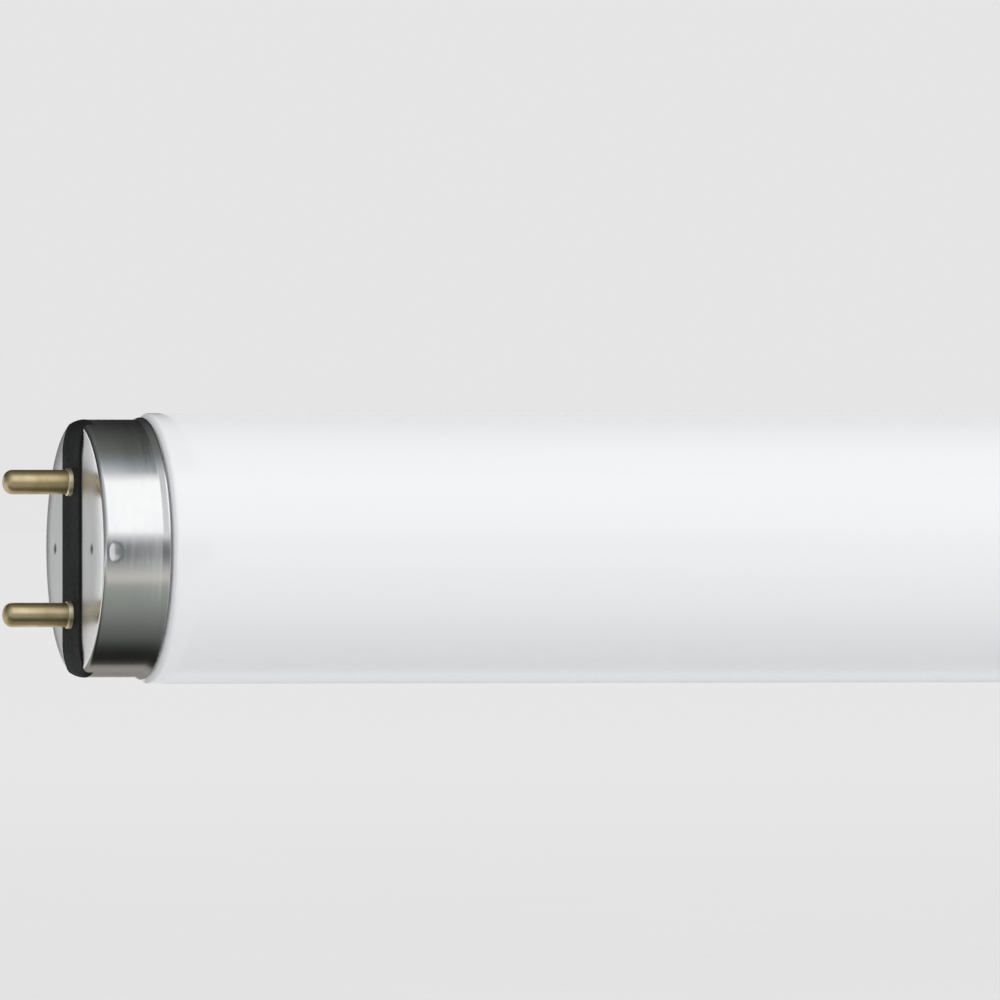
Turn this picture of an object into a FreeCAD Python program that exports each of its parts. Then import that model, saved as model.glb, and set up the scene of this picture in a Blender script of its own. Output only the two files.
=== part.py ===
import FreeCAD, Part
import math
import os
from FreeCAD import Rotation, Vector

# A straight fluorescent tube with a two-pin cap on each end. It lies along X, +Z is up, and the origin is
# under its middle, on the surface that it lies on. All lengths are in millimetres.

# Lamp
FACE_TO_FACE = 589.8  # between the front faces of the two insulating bridges
GLASS_DIAMETER = 26.0

# Pins
PIN_SPACING = 12.7  # between the axes of one cap's two pins
PIN_DIAMETER = 2.35
PIN_LENGTH = 6.6  # how far a pin stands out of its bridge
PIN_TIP_ROUND = 0.9
PIN_BORE_DIAMETER = 1.4
SHANK_DIAMETER = 2.0  # through the bridge, behind the collar
PIN_TIP_WALL = 0.6
COLLAR_DIAMETER = 2.7
COLLAR_THICKNESS = 0.45
RIVET_DIAMETER = 3.4
RIVET_THICKNESS = 0.25

# Cap shell, drawn from thin sheet
SHELL_STEP = 0.65  # how much the shell's radius is under the glass's
SHELL_HEIGHT = 6.75
SHELL_SHEET = 0.3
SHELL_CORNER = 0.5
BEVEL_WIDTH = 2.75  # the sloped ring at the edge of the end face
BEVEL_DROP = 0.22
LIP_HEIGHT = 0.8
LIP_FLARE = 0.2
LIP_LAND = 0.25
SHEET_EDGE = 0.1  # taken off the lip's two edges and the inside of the corner

# Conical punch marks that stake the shell on to the bridge
PUNCH_DIAMETER = 1.5
PUNCH_DEPTH = 0.18
FACE_PUNCH_RADIUS = 7.6
WALL_PUNCH_DEPTH = 1.3  # behind the end face
WALL_PUNCH_TURN = -1.5  # degrees round from the line square to the pins

# Insulating bridge, moulded with the disc that fills the shell
BRIDGE_WIDTH = 7.0
BRIDGE_PROUD = 0.25
BRIDGE_LAND = 1.0  # flat left beyond a pin's collar, before the end rounds down
BRIDGE_END_DROP = 1.1  # how far the ends reach down over the shell's wall
BRIDGE_EDGE = 0.15
DISC_THICKNESS = 1.2
DISC_EDGE = 0.3  # taken off the disc's edges

# Glass, closed by a stem at each end
CEMENT_THICKNESS = 0.3
GLASS_END_GAP = 1.3  # between the disc and the glass
SHOULDER_GAP = 0.1  # between the shell's lip and the start of the shoulder
SHOULDER_LENGTH = 0.7
SHOULDER_ROUND = 0.5
GLASS_END_ROUND = 0.9
STEM_MOUTH_WALL = 1.8
STEM_DIAMETER = 10.4
STEM_DEPTH = 11.0
STEM_FLARE_DEPTH = 4.0
STEM_ROUND = 1.0  # where the stem widens, and the cut round its floor
EXHAUST_DIAMETER = 3.2
EXHAUST_GAP = 0.6  # between the disc and the sealed tip

# Cement between glass and shell
CEMENT_START_GAP = 0.4  # behind the end of the glass
CEMENT_END_GAP = 0.6  # before the shell's lip ends

# Lead wires, from the stem to the pins
WIRE_DIAMETER = 0.5
WIRE_PITCH = 6.4  # between the two wires where they leave the stem
WIRE_STRAIGHT = 3.6
WIRE_BEND = 1.5
WIRE_ENTRY_GAP = 0.7  # straight stretch before the pin's rivet

# Fits
SEAT_CLEARANCE = 0.05
PIN_CLEARANCE = 0.02

# Radii that follow from the sizes above
GLASS_RADIUS = GLASS_DIAMETER / 2
SHELL_RADIUS = GLASS_RADIUS - SHELL_STEP
BORE_RADIUS = SHELL_RADIUS - SHELL_SHEET
NECK_RADIUS = BORE_RADIUS - CEMENT_THICKNESS
LIP_RADIUS = SHELL_RADIUS + LIP_FLARE
PIN_RADIUS = PIN_DIAMETER / 2

# Heights along the lamp's axis, from a shell's end face, positive outwards
DISC_FRONT = -SHELL_SHEET - SEAT_CLEARANCE
DISC_BACK = DISC_FRONT - DISC_THICKNESS
RIVET_BACK = DISC_BACK - RIVET_THICKNESS
GLASS_END = DISC_BACK - GLASS_END_GAP
STEM_FLOOR = GLASS_END - STEM_DEPTH
PIN_TIP = BRIDGE_PROUD + PIN_LENGTH
PIN_BORE_END = PIN_TIP - PIN_TIP_WALL
SHELL_BACK = -SHELL_HEIGHT

# Where the shell's end face lies, from the middle of the lamp
FACE_HEIGHT = FACE_TO_FACE / 2 - BRIDGE_PROUD
AXIS_HEIGHT = max(GLASS_RADIUS, LIP_RADIUS)

AXIS = Vector(0, 0, 1)


def room_beside(run, neighbour_softening):
    """How much of a run one of its corners may use, when the other corner may be softened too."""
    share = 0.49 if neighbour_softening else 0.98
    return share * run.Length


def softened_corner(here, before, after, reach_limit, softening):
    """Where a softened corner leaves its two runs, and the edge between: an arc, or a straight cut."""
    back = (before - here).normalize()
    ahead = (after - here).normalize()
    half_angle = back.getAngle(ahead) / 2
    wanted = softening / math.tan(half_angle) if softening > 0 else -softening
    reach = min(wanted, reach_limit)
    start = here + back * reach
    finish = here + ahead * reach
    if softening < 0:
        return start, finish, Part.LineSegment(start, finish).toShape()
    radius = reach * math.tan(half_angle)
    inwards = (back + ahead).normalize()
    middle = here + inwards * (radius / math.sin(half_angle) - radius)
    return start, finish, Part.Arc(start, middle, finish).toShape()


def path_edges(corners, closed):
    """Straight runs through (across, along, softening) corners in the XZ plane.

    A positive softening rounds its corner with a tangent arc of that radius, and a negative one cuts the
    corner straight, by that much on each run. Either is held to what its two runs leave room for.
    """
    points = [Vector(across, 0, along) for across, along, softening in corners]
    count = len(points)
    leaves = []
    bends = []
    for i, (across, along, softening) in enumerate(corners):
        here = points[i]
        if softening == 0 or (not closed and i in (0, count - 1)):
            leaves.append((here, here))
            bends.append(None)
            continue
        before = points[i - 1]
        after = points[(i + 1) % count]
        reach_limit = min(room_beside(before - here, corners[i - 1][2]),
                          room_beside(after - here, corners[(i + 1) % count][2]))
        start, finish, bend = softened_corner(here, before, after, reach_limit, softening)
        leaves.append((start, finish))
        bends.append(bend)
    chain = []
    for i in range(count):
        if bends[i] is not None:
            chain.append(bends[i])
        if i < count - 1 or closed:
            start = leaves[i][1]
            finish = leaves[(i + 1) % count][0]
            chain.append(Part.LineSegment(start, finish).toShape())
    return chain


def turned(corners):
    """A solid turned round the lamp's axis from its closed half section."""
    section = Part.Face(Part.Wire(path_edges(corners, closed=True)))
    return section.revolve(Vector(0, 0, 0), AXIS, 360)


def shell():
    """The cap's cup: bevelled end face, straight wall and flared lip, slotted for the bridge."""
    bevel_start = SHELL_RADIUS - BEVEL_WIDTH
    flare_start = SHELL_BACK + LIP_HEIGHT
    land_start = SHELL_BACK + LIP_LAND
    lip_bore = LIP_RADIUS - SHELL_SHEET
    cup = turned([
        (0, 0, 0),
        (bevel_start, 0, 0),
        (SHELL_RADIUS, -BEVEL_DROP, SHELL_CORNER),
        (SHELL_RADIUS, flare_start, SHELL_CORNER),
        (LIP_RADIUS, land_start, SHELL_CORNER),
        (LIP_RADIUS, SHELL_BACK, -SHEET_EDGE),
        (lip_bore, SHELL_BACK, -SHEET_EDGE),
        (lip_bore, land_start, 0),
        (BORE_RADIUS, flare_start, 0),
        (BORE_RADIUS, -BEVEL_DROP - SHELL_SHEET, -SHEET_EDGE),
        (bevel_start, -SHELL_SHEET, 0),
        (0, -SHELL_SHEET, 0),
    ])
    slot_width = BRIDGE_WIDTH + 2 * SEAT_CLEARANCE
    slot_length = 2 * LIP_RADIUS
    slot_depth = BRIDGE_END_DROP + SEAT_CLEARANCE
    slot_corner = Vector(-slot_width / 2, -slot_length / 2, -slot_depth)
    slot = Part.makeBox(slot_width, slot_length, slot_depth + SHELL_SHEET, slot_corner)
    cup = cup.cut(slot)
    for cone in punches():
        cup = cup.cut(cone)
    return cup


def punches():
    """The cones that dent the shell: two on the end face and two on the wall, beside the bridge."""
    cones = []
    for side in (0, 180):
        face_turn = Rotation(AXIS, side)
        wall_turn = Rotation(AXIS, side + WALL_PUNCH_TURN)
        face_mouth = face_turn.multVec(Vector(FACE_PUNCH_RADIUS, 0, 0))
        wall_outwards = wall_turn.multVec(Vector(1, 0, 0))
        wall_mouth = wall_outwards * SHELL_RADIUS - AXIS * WALL_PUNCH_DEPTH
        cones.append(punch(face_mouth, AXIS))
        cones.append(punch(wall_mouth, wall_outwards))
    return cones


def punch(mouth, outwards):
    """A cone with its mouth on the shell's surface, widened on outwards so that it cuts clear of it."""
    radius = PUNCH_DIAMETER / 2
    return Part.makeCone(0, 2 * radius, 2 * PUNCH_DEPTH, mouth - outwards * PUNCH_DEPTH, outwards)


def bridge_bar():
    """The bar across the end face: flat between the pins, its ends rounded down over the shell's wall."""
    flat_half = PIN_SPACING / 2 + COLLAR_DIAMETER / 2 + BRIDGE_LAND
    end_reach = SHELL_RADIUS - flat_half
    end_fall = BRIDGE_PROUD + BRIDGE_END_DROP
    foot = -BRIDGE_END_DROP - end_fall
    side = -BRIDGE_WIDTH / 2
    ends = []
    for sign in (-1, 1):
        centre = Vector(side, sign * flat_half, -BRIDGE_END_DROP)
        tip = centre + Vector(0, sign * end_reach, 0)
        top = centre + Vector(0, 0, end_fall)
        oval = Part.Ellipse(tip, top, centre) if end_reach > end_fall else Part.Ellipse(top, tip, centre)
        ends.append((tip, top, Part.Arc(oval, *sorted_span(oval, tip, top)).toShape()))
    (left_tip, left_top, left_end), (right_tip, right_top, right_end) = ends
    left_foot = Vector(side, left_tip.y, foot)
    right_foot = Vector(side, right_tip.y, foot)
    outline = Part.Wire(Part.__sortEdges__([
        left_end,
        Part.LineSegment(left_top, right_top).toShape(),
        right_end,
        Part.LineSegment(right_tip, right_foot).toShape(),
        Part.LineSegment(right_foot, left_foot).toShape(),
        Part.LineSegment(left_foot, left_tip).toShape(),
    ]))
    bar = Part.Face(outline).extrude(Vector(BRIDGE_WIDTH, 0, 0))
    long_edges = [e for e in bar.Edges if on_bar_edge(e)]
    bar = bar.makeFillet(BRIDGE_EDGE, long_edges)
    room = Part.makeCylinder(SHELL_RADIUS, end_fall, Vector(0, 0, -BRIDGE_END_DROP))
    return bar.common(room)


def sorted_span(oval, tip, top):
    """The oval's parameters from its tip to its top, the shorter way round, in rising order."""
    first = oval.parameter(tip)
    last = oval.parameter(top)
    if abs(first - last) > math.pi:
        first, last = max(first, last), min(first, last) + 2 * math.pi
    return min(first, last), max(first, last)


def on_bar_edge(edge):
    """True for an edge that runs along one side of the bar's top or rounded ends."""
    middle = edge.valueAt((edge.FirstParameter + edge.LastParameter) / 2)
    on_side = abs(abs(middle.x) - BRIDGE_WIDTH / 2) < SEAT_CLEARANCE
    return on_side and middle.z > -BRIDGE_END_DROP


def bridge():
    """The moulding that carries the pins: a disc under the shell's end face, and the bar through its slot."""
    disc_radius = BORE_RADIUS - SEAT_CLEARANCE
    bevel_start = SHELL_RADIUS - BEVEL_WIDTH - SEAT_CLEARANCE
    disc = turned([
        (0, DISC_FRONT, 0),
        (bevel_start, DISC_FRONT, 0),
        (disc_radius, DISC_FRONT - BEVEL_DROP - SEAT_CLEARANCE, -DISC_EDGE),
        (disc_radius, DISC_BACK, -DISC_EDGE),
        (0, DISC_BACK, 0),
    ])
    body = disc.fuse(bridge_bar())
    hole_depth = BRIDGE_PROUD - RIVET_BACK
    for sign in (-1, 1):
        start = Vector(0, sign * PIN_SPACING / 2, RIVET_BACK)
        body = body.cut(Part.makeCylinder(SHANK_DIAMETER / 2 + PIN_CLEARANCE, hole_depth, start))
    return body


def pin(sign):
    """A hollow pin: rounded tip, collar on the bridge's front, shank through it and rivet on its back."""
    shank_radius = SHANK_DIAMETER / 2
    collar_radius = COLLAR_DIAMETER / 2
    rivet_radius = RIVET_DIAMETER / 2
    bore_radius = PIN_BORE_DIAMETER / 2
    collar_front = BRIDGE_PROUD + COLLAR_THICKNESS
    body = turned([
        (0, PIN_TIP, 0),
        (PIN_RADIUS, PIN_TIP, PIN_TIP_ROUND),
        (PIN_RADIUS, collar_front, 0),
        (collar_radius, collar_front, -COLLAR_THICKNESS / 2),
        (collar_radius, BRIDGE_PROUD, 0),
        (shank_radius, BRIDGE_PROUD, 0),
        (shank_radius, DISC_BACK, 0),
        (rivet_radius, DISC_BACK, 0),
        (rivet_radius, RIVET_BACK, -RIVET_THICKNESS / 2),
        (bore_radius, RIVET_BACK, 0),
        (bore_radius, PIN_BORE_END, 0),
        (0, PIN_BORE_END, 0),
    ])
    body.translate(Vector(0, sign * PIN_SPACING / 2, 0))
    return body


def lead_wire(sign):
    """A wire from the floor of the stem, splayed out to a pin's axis and up the pin's bore to its tip."""
    near = WIRE_PITCH / 2
    far = PIN_SPACING / 2
    path = Part.Wire(path_edges([
        (near, STEM_FLOOR, 0),
        (near, STEM_FLOOR + WIRE_STRAIGHT, WIRE_BEND),
        (far, RIVET_BACK - WIRE_ENTRY_GAP, WIRE_BEND),
        (far, PIN_BORE_END, 0),
    ], closed=False))
    ring = Part.Wire(Part.Circle(Vector(near, 0, STEM_FLOOR), AXIS, WIRE_DIAMETER / 2).toShape())
    wire = path.makePipeShell([ring], True, False)
    wire.rotate(Vector(0, 0, 0), AXIS, sign * 90)
    return wire


def cement():
    """The ring of cement that holds the shell on the neck of the glass."""
    front = GLASS_END - CEMENT_START_GAP
    back = SHELL_BACK + LIP_HEIGHT + CEMENT_END_GAP - LIP_LAND
    return turned([
        (NECK_RADIUS, front, 0),
        (BORE_RADIUS, front, 0),
        (BORE_RADIUS, back, 0),
        (NECK_RADIUS, back, 0),
    ])


def glass_end():
    """Half of the glass's section, from the sealed exhaust tip on the axis out to the full diameter."""
    exhaust_radius = EXHAUST_DIAMETER / 2
    stem_radius = STEM_DIAMETER / 2
    mouth_radius = NECK_RADIUS - STEM_MOUTH_WALL
    shoulder_start = SHELL_BACK - SHOULDER_GAP
    return [
        (0, DISC_BACK - EXHAUST_GAP, 0),
        (exhaust_radius, DISC_BACK - EXHAUST_GAP, exhaust_radius * 0.9),
        (exhaust_radius, STEM_FLOOR, 0),
        (stem_radius, STEM_FLOOR, -STEM_ROUND),
        (stem_radius, GLASS_END - STEM_FLARE_DEPTH, STEM_ROUND),
        (mouth_radius, GLASS_END, 0),
        (NECK_RADIUS, GLASS_END, GLASS_END_ROUND),
        (NECK_RADIUS, shoulder_start, SHOULDER_ROUND),
        (GLASS_RADIUS, shoulder_start - SHOULDER_LENGTH, SHOULDER_ROUND),
    ]


def glass():
    """The sealed glass, one solid: the coated tube, its necked ends and the stems sunk into them."""
    upper = [(radius, FACE_HEIGHT + height, rounding) for radius, height, rounding in glass_end()]
    lower = [(radius, -height, rounding) for radius, height, rounding in reversed(upper)]
    return turned(upper + lower)


def laid_down(body, heading):
    """Turns a piece made on the Z axis so that its outward end points along X times heading.

    The line of the pins, along Y as the piece is made, then stands along Z.
    """
    body.rotate(Vector(0, 0, 0), Vector(0, 1, 0), 90 * heading)
    body.rotate(Vector(0, 0, 0), Vector(1, 0, 0), 90)
    body.translate(Vector(0, 0, AXIS_HEIGHT))
    return body


def cap(heading):
    """All the pieces of one end, each by its name."""
    pieces = {
        "cap_shell": shell(),
        "insulating_bridge": bridge(),
        "cement_ring": cement(),
        "upper_pin": pin(1),
        "lower_pin": pin(-1),
        "upper_lead_wire": lead_wire(1),
        "lower_lead_wire": lead_wire(-1),
    }
    for body in pieces.values():
        body.translate(Vector(0, 0, FACE_HEIGHT))
        laid_down(body, heading)
    return pieces


def write(name, body):
    """Writes one piece to its own file, and prints its size."""
    body.exportStep(os.path.join("parts", name + ".step"))
    box = body.BoundBox
    print(name, len(body.Solids), body.isValid(), round(body.Volume, 2),
          [round(v, 3) for v in (box.XMin, box.YMin, box.ZMin, box.XMax, box.YMax, box.ZMax)])


def main():
    os.makedirs("parts", exist_ok=True)
    write("glass_tube", laid_down(glass(), 1))
    for side, heading in (("left", -1), ("right", 1)):
        for name, body in cap(heading).items():
            write(side + "_" + name, body)


main()
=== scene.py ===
# %% [markdown]
# This file dresses a straight fluorescent tube that lies along X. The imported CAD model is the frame: it
# says where every piece is, and nothing here moves or resizes it. What is made here is what a buyer sees:
# the white glass, the two bright caps and their brass pins, each turned or drawn the way the real piece is.

# %% Load the frame
import math
import bpy
import numpy as np
from mathutils import Matrix, Vector


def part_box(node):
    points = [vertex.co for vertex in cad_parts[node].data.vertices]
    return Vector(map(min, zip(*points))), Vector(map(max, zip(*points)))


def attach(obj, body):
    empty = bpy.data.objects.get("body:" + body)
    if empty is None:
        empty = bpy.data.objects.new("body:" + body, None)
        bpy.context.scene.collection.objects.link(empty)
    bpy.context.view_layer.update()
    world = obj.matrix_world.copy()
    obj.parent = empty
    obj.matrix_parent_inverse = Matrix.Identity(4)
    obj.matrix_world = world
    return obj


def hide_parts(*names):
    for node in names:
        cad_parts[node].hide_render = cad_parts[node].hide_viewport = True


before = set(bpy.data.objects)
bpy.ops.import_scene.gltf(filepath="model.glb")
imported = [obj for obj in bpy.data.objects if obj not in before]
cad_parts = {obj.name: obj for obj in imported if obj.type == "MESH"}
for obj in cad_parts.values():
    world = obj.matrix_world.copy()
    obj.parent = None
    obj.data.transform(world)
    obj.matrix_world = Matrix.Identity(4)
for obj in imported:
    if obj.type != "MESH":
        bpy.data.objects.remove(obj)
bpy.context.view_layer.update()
MM = 0.001
print("nodes:", ", ".join(sorted(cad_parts)))

# %% [markdown]
# Every size that a new piece shares with its CAD solid is read from the frame where the frame can give it.
# A node's box gives the radius and the ends of anything round. The rest, such as a wall or a rounding, is
# a named value in millimetres beside the piece that uses it.

# %% Read the lamp's main sizes from the frame
glass_low, glass_high = (np.array(corner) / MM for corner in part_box("glass_tube"))
GLASS_RADIUS = (glass_high[2] - glass_low[2]) / 2
AXIS_HEIGHT = (glass_high[2] + glass_low[2]) / 2
ENDS = (("left", -1), ("right", 1))
shell_low, shell_high = (np.array(corner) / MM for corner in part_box("left_cap_shell"))
LIP_RADIUS = (shell_high[2] - shell_low[2]) / 2
FACE_X = -shell_low[0]
SHELL_HEIGHT = shell_high[0] - shell_low[0]
sizes = {"glass radius": GLASS_RADIUS, "face at": FACE_X, "cap height": SHELL_HEIGHT, "lip": LIP_RADIUS}
print({label: round(float(size), 3) for label, size in sizes.items()})

# %% [markdown]
# The round pieces are all drawn the same way: a section of straight runs with softened corners, carried
# round the axis. A designer gives each corner a radius, so the helper below does too. It fills each corner
# with points on the arc that touches both runs, and spreads more points along the runs where a piece needs
# them, for a dent or a fine curve.

# %% A section from its corners
ARC_STEPS = 8


def section(corners, run_steps=None):
    """Points of a section through (along, radius, rounding) corners, in millimetres.

    At a rounded corner the points run evenly round the circle that touches both runs: centre plus radius
    times the turned unit vector. Between corners they are evenly spaced, run_steps[i] of them on run i.
    """
    places = np.array([corner[:2] for corner in corners], float)
    pieces = []
    for i, (here, rounding) in enumerate(zip(places, [corner[2] for corner in corners])):
        if rounding == 0 or i in (0, len(corners) - 1):
            pieces.append(here[None])
            continue
        back = (places[i - 1] - here) / np.linalg.norm(places[i - 1] - here)
        ahead = (places[i + 1] - here) / np.linalg.norm(places[i + 1] - here)
        half = math.acos(np.clip(back @ ahead, -1, 1)) / 2
        centre = here + (back + ahead) / np.linalg.norm(back + ahead) * rounding / math.sin(half)
        first = here + back * rounding / math.tan(half) - centre
        last = here + ahead * rounding / math.tan(half) - centre
        share = np.linspace(0, 1, ARC_STEPS + 1)[:, None]
        sweep = math.pi - 2 * half
        arc = (first * np.sin((1 - share) * sweep) + last * np.sin(share * sweep)) / math.sin(sweep)
        pieces.append(centre + arc)
    points = [pieces[0]]
    for i in range(1, len(pieces)):
        steps = run_steps[i - 1] if run_steps else 1
        share = np.linspace(0, 1, steps + 1)[1:-1, None]
        start, finish = pieces[i - 1][-1], pieces[i][0]
        points += [start + share * (finish - start), pieces[i]]
    return np.concatenate(points)


# %% [markdown]
# A grid of points becomes a mesh in one step. Where a section meets the axis, a whole row of points falls
# on one place, so points that coincide are sewn into one and the cells that lose a side become triangles.
# That closes every pole and seam, and leaves a solid with no loose edge.

# %% Sew a grid into a mesh
SEW_DIGITS = 8
SHARP_DEGREES = 35


def sewn_mesh(name, points, cells, sharp_degrees=SHARP_DEGREES, values=None):
    """A smooth-shaded object from points (n, 3) in metres and four-sided cells (m, 4).

    Coinciding points become one; a cell with two equal neighbours becomes a triangle. values are named
    arrays of one number a point, kept on the mesh for a material to read.
    """
    places, first, place_of = np.unique(
        np.round(points, SEW_DIGITS), axis=0, return_index=True, return_inverse=True)
    cells = place_of.reshape(-1)[cells]
    same = cells == np.roll(cells, -1, axis=1)
    faces = cells[same.sum(axis=1) == 0].tolist()
    for corner in range(4):
        kept = [c for c in range(4) if c != corner]
        faces += cells[same[:, corner] & (same.sum(axis=1) == 1)][:, kept].tolist()
    mesh = bpy.data.meshes.new(name)
    mesh.from_pydata(places.tolist(), [], faces)
    for label, numbers in (values or {}).items():
        layer = mesh.attributes.new(label, "FLOAT", "POINT")
        layer.data.foreach_set("value", numbers[first])
    mesh.validate()
    mesh.shade_smooth()
    mesh.set_sharp_from_angle(angle=math.radians(sharp_degrees))
    piece = bpy.data.objects.new(name, mesh)
    bpy.context.collection.objects.link(piece)
    print(name, len(mesh.polygons), "faces")
    return piece


def grid_cells(rows, columns, wrap_columns=True):
    """Corner numbers of the cells of a rows by columns grid, stored row by row."""
    ring = np.arange(columns)
    start = ring if wrap_columns else ring[:-1]
    after = (start + 1) % columns
    down = np.arange(rows - 1)[:, None] * columns
    corners = [down + start, down + after, down + columns + after, down + columns + start]
    return np.stack(corners, axis=-1).reshape(-1, 4)


def turned(outline, centre, columns):
    """Points in metres and cells of a solid of revolution about an axis along X through centre (y, z).

    The point at angle a on the ring of radius r is (along, y + r cos a, z + r sin a). The outline runs so
    that its left hand is the outside, which makes the faces point outwards.
    """
    angle = np.linspace(0, 2 * math.pi, columns, endpoint=False)
    along = np.repeat(outline[:, :1], columns, axis=1)
    across = centre[0] + outline[:, 1:] * np.cos(angle)
    up = centre[1] + outline[:, 1:] * np.sin(angle)
    points = np.stack([along, across, up], axis=-1).reshape(-1, 3) * MM
    return points, grid_cells(len(outline), columns)


# %% [markdown]
# A material is more than a colour. Real surfaces carry faint uneven tone and a fine relief, and on this
# lamp each finish has its own kind: the coating inside the glass is slightly streaked along the tube, the
# drawn aluminium has fine lines round the cap, brass goes brown in patches. One node group makes that
# unevenness from stretched noise, and each material places it with its own scale and strength. It gives
# out only a mask and a height, so that the shaders and their fixed values stay in the materials.

# %% The uneven-tone group


def tone_group():
    """A node group: noise on object coordinates, stretched by a vector, as a 0 to 1 mask and a height."""
    group = bpy.data.node_groups.new("uneven_tone", "ShaderNodeTree")
    stretch = group.interface.new_socket("Stretch", in_out="INPUT", socket_type="NodeSocketVector")
    stretch.default_value = (1, 1, 1)
    for label, value in (("Scale", 100.0), ("Detail", 4.0), ("Low", 0.35), ("High", 0.65)):
        number = group.interface.new_socket(label, in_out="INPUT", socket_type="NodeSocketFloat")
        number.default_value = value
    group.interface.new_socket("Mask", in_out="OUTPUT", socket_type="NodeSocketFloat")
    group.interface.new_socket("Height", in_out="OUTPUT", socket_type="NodeSocketFloat")
    nodes, links = group.nodes, group.links
    given = nodes.new("NodeGroupInput")
    out = nodes.new("NodeGroupOutput")
    where = nodes.new("ShaderNodeTexCoord")
    stretched = nodes.new("ShaderNodeVectorMath")
    stretched.operation = "MULTIPLY"
    noise = nodes.new("ShaderNodeTexNoise")
    spread = nodes.new("ShaderNodeMapRange")
    links.new(where.outputs["Object"], stretched.inputs[0])
    links.new(given.outputs["Stretch"], stretched.inputs[1])
    links.new(stretched.outputs["Vector"], noise.inputs["Vector"])
    links.new(given.outputs["Scale"], noise.inputs["Scale"])
    links.new(given.outputs["Detail"], noise.inputs["Detail"])
    links.new(noise.outputs["Fac"], spread.inputs["Value"])
    links.new(given.outputs["Low"], spread.inputs["From Min"])
    links.new(given.outputs["High"], spread.inputs["From Max"])
    links.new(spread.outputs["Result"], out.inputs["Mask"])
    links.new(noise.outputs["Fac"], out.inputs["Height"])
    return group


UNEVEN_TONE = tone_group()
print("group", UNEVEN_TONE.name, "made")

# %% [markdown]
# The helpers below only save typing. One links two nodes. One starts a material with a Principled shader
# whose fixed values are set on its own sockets. One places the tone group, one mixes two colours by a mask,
# one spreads a mask over a range, and one feeds a height through a Bump node into a shader's normal. The
# last one dresses a piece.

# %% Helpers for materials


def wire(material, output, socket):
    """Links an output of one of the material's nodes to a socket of another."""
    material.node_tree.links.new(output, socket)


def start_material(name, fixed):
    """A node material with one Principled shader, its sockets set to the fixed values given by name."""
    material = bpy.data.materials.new(name)
    material.use_nodes = True
    shader = material.node_tree.nodes["Principled BSDF"]
    for socket, value in fixed.items():
        shader.inputs[socket].default_value = value
    return material, shader


def tone(material, scale, stretch=(1, 1, 1), detail=4.0, low=0.35, high=0.65):
    """Places the tone group in a material."""
    node = material.node_tree.nodes.new("ShaderNodeGroup")
    node.node_tree = UNEVEN_TONE
    node.inputs["Stretch"].default_value = stretch
    for label, value in (("Scale", scale), ("Detail", detail), ("Low", low), ("High", high)):
        node.inputs[label].default_value = value
    return node


def mixed_colour(material, mask, colour_a, colour_b):
    """Colour a where the mask is 0 and colour b where it is 1."""
    node = material.node_tree.nodes.new("ShaderNodeMix")
    node.data_type = "RGBA"
    for socket, colour in ((node.inputs["A"], colour_a), (node.inputs["B"], colour_b)):
        if isinstance(colour, tuple):
            socket.default_value = (*colour, 1)
        else:
            wire(material, colour, socket)
    wire(material, mask, node.inputs["Factor"])
    return node.outputs["Result"]


def ranged(material, value, low, high):
    """Spreads a 0 to 1 value from low to high."""
    node = material.node_tree.nodes.new("ShaderNodeMapRange")
    node.inputs["To Min"].default_value = low
    node.inputs["To Max"].default_value = high
    wire(material, value, node.inputs["Value"])
    return node.outputs["Result"]


def relief(material, shader, height, strength, distance):
    """Feeds a height through a Bump node into the shader's normal."""
    bump = material.node_tree.nodes.new("ShaderNodeBump")
    bump.inputs["Strength"].default_value = strength
    bump.inputs["Distance"].default_value = distance
    wire(material, height, bump.inputs["Height"])
    wire(material, bump.outputs["Normal"], shader.inputs["Normal"])


def finish_piece(piece, material, *nodes, slot):
    """Gives a new piece its material, lets it ride on the lamp and stand for its CAD nodes."""
    piece.data.materials.append(material)
    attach(piece, "root")
    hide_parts(*nodes)
    return piece


# %% [markdown]
# The glass looks like porcelain, but the white is not on its outside: a powder coats the inside of a clear
# tube. So the body is a soft, nearly matt white, and over it lies the clear smooth glass, which gives the
# sharp reflection of the studio light. A Principled shader says exactly that with a rough base and a glossy
# coat. The powder drains along the tube, so its faint streaks run that way too, and it is wiped off the
# ends that go into the caps.

# %% Coated glass
POWDER_INSIDE_LIP = 0.3
POWDER_END = FACE_X - SHELL_HEIGHT + POWDER_INSIDE_LIP
POWDER_FADE = 0.3
CLEAR_END = (0.2, 0.21, 0.21)
POWDER_ROUGHNESS = (0.55, 0.68)
coated_glass, shader = start_material("coated_glass", {
    "Coat Weight": 1.0, "Coat Roughness": 0.04, "Coat IOR": 1.5})
streaks = tone(coated_glass, scale=60, stretch=(0.08, 1, 1), detail=3)
powder_tone = mixed_colour(
    coated_glass, streaks.outputs["Mask"], (0.92, 0.942, 0.962), (0.943, 0.956, 0.97))
along = coated_glass.node_tree.nodes.new("ShaderNodeSeparateXYZ")
place = coated_glass.node_tree.nodes.new("ShaderNodeTexCoord")
from_middle = coated_glass.node_tree.nodes.new("ShaderNodeMath")
from_middle.operation = "ABSOLUTE"
past_powder = coated_glass.node_tree.nodes.new("ShaderNodeMapRange")
past_powder.inputs["From Min"].default_value = (POWDER_END - POWDER_FADE) * MM
past_powder.inputs["From Max"].default_value = POWDER_END * MM
wire(coated_glass, place.outputs["Object"], along.inputs["Vector"])
wire(coated_glass, along.outputs["X"], from_middle.inputs[0])
wire(coated_glass, from_middle.outputs[0], past_powder.inputs["Value"])
body_tone = mixed_colour(coated_glass, past_powder.outputs["Result"], powder_tone, CLEAR_END)
wire(coated_glass, body_tone, shader.inputs["Base Color"])
grain = tone(coated_glass, scale=900, detail=2)
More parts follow.
